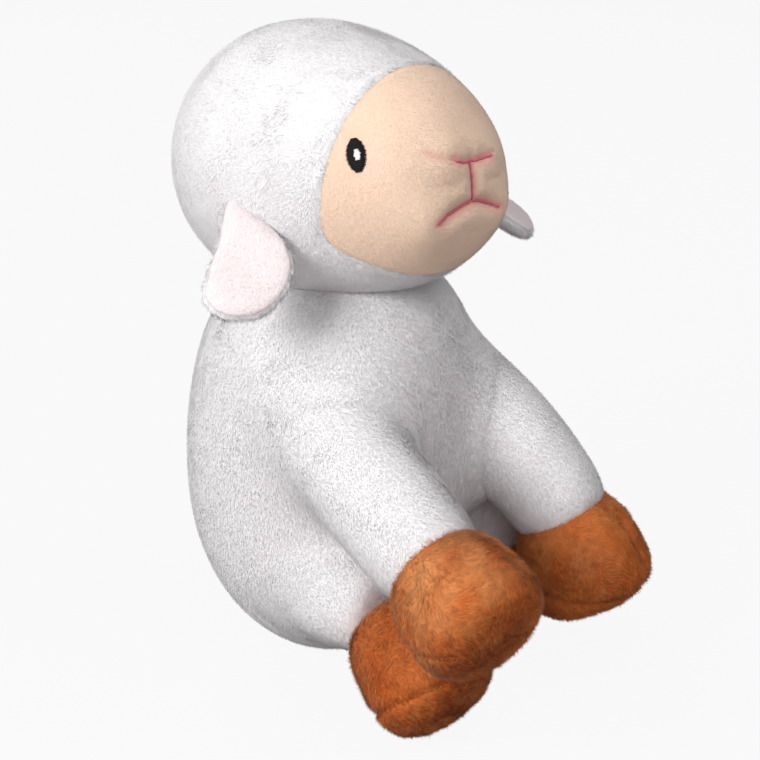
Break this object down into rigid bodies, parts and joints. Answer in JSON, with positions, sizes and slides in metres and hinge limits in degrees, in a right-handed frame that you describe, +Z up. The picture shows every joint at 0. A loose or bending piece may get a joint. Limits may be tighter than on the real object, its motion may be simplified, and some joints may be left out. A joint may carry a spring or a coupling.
{
  "type": "plush sheep",
  "caption": "Small seated plush sheep with a white body, cream face, drooping ears, brown hooves and a short tail, stuffed and weighted at the seat.",
  "frame": {"origin": "middle of the flat seat panel, on the surface that the sheep sits on", "axes": "+Z up, -Y the way the sheep faces, +X the sheep's left"},
  "size_m": [0.146, 0.1581, 0.1879],
  "materials": {
    "white_plush": "short-pile white plush",
    "face_plush": "short-pile cream plush",
    "brown_plush": "short-pile orange-brown plush",
    "pink_plush": "smooth pale pink plush",
    "stuffing_fibre": "polyester fibre filling",
    "pellet_bag_cotton": "cotton bag filled with pellets",
    "black_thread": "satin-stitched black thread",
    "white_thread": "satin-stitched white thread",
    "pink_thread": "stitched dusky pink thread"
  },
  "bodies": {
    "torso": {"torso_skin": "white_plush", "torso_filling": "stuffing_fibre", "pellet_bag": "pellet_bag_cotton", "seat_panel": "white_plush"},
    "head": {"head_skin": "white_plush", "face_panel": "face_plush", "head_filling": "stuffing_fibre", "eye_right": "black_thread", "eye_left": "black_thread", "eye_glint_right": "white_thread", "eye_glint_left": "white_thread", "nose_stitch": "pink_thread", "lip_stitch": "pink_thread", "mouth_stitch": "pink_thread"},
    "ear_right": {"ear_right": "white_plush", "ear_lining_right": "pink_plush"},
    "ear_left": {"ear_left": "white_plush", "ear_lining_left": "pink_plush"},
    "front_leg_right": {"front_leg_right": "white_plush", "front_hoof_right": "brown_plush", "front_sole_right": "brown_plush"},
    "front_leg_left": {"front_leg_left": "white_plush", "front_hoof_left": "brown_plush", "front_sole_left": "brown_plush"},
    "hind_leg_right": {"hind_leg_right": "white_plush", "hind_hoof_right": "brown_plush", "hind_sole_right": "brown_plush"},
    "hind_leg_left": {"hind_leg_left": "white_plush", "hind_hoof_left": "brown_plush", "hind_sole_left": "brown_plush"},
    "tail": {"tail": "white_plush"}
  },
  "joints": [
    {"name": "neck_nod", "type": "hinge", "parent": "torso", "child": "head", "pos_m": [0, 0.004, 0.136], "axis": [0.9986, -0.0523, 0], "range_deg": [-14, 6], "stiffness_Nm_per_rad": 0.5, "springref_deg": -0.34},
    {"name": "ear_lift_right", "type": "hinge", "parent": "head", "child": "ear_right", "pos_m": [-0.03869, -0.00098, 0.143], "axis": [-0.7547, 0.6561, 0], "range_deg": [0, 45], "stiffness_Nm_per_rad": 0.002},
    {"name": "ear_lift_left", "type": "hinge", "parent": "head", "child": "ear_left", "pos_m": [0.03694, -0.00995, 0.143], "axis": [-0.8191, -0.5736, 0], "range_deg": [0, 45], "stiffness_Nm_per_rad": 0.002},
    {"name": "shoulder_lift_right", "type": "hinge", "parent": "torso", "child": "front_leg_right", "pos_m": [-0.027, -0.016, 0.084], "axis": [-0.9781, 0.2079, 0], "range_deg": [0, 60], "stiffness_Nm_per_rad": 0.05},
    {"name": "shoulder_lift_left", "type": "hinge", "parent": "torso", "child": "front_leg_left", "pos_m": [0.027, -0.016, 0.084], "axis": [-0.9833, -0.1822, 0], "range_deg": [0, 60], "stiffness_Nm_per_rad": 0.05},
    {"name": "hip_spread_right", "type": "hinge", "parent": "torso", "child": "hind_leg_right", "pos_m": [-0.0225, -0.0125, 0.0285], "axis": [0, 0, -1], "range_deg": [0, 30], "stiffness_Nm_per_rad": 0.05},
    {"name": "hip_spread_left", "type": "hinge", "parent": "torso", "child": "hind_leg_left", "pos_m": [0.0225, -0.0125, 0.0285], "axis": [0, 0, 1], "range_deg": [0, 20], "stiffness_Nm_per_rad": 0.05},
    {"name": "tail_lift", "type": "hinge", "parent": "torso", "child": "tail", "pos_m": [0, 0.038, 0.034], "axis": [1, 0, 0], "range_deg": [0, 40], "stiffness_Nm_per_rad": 0.002}
  ]
}
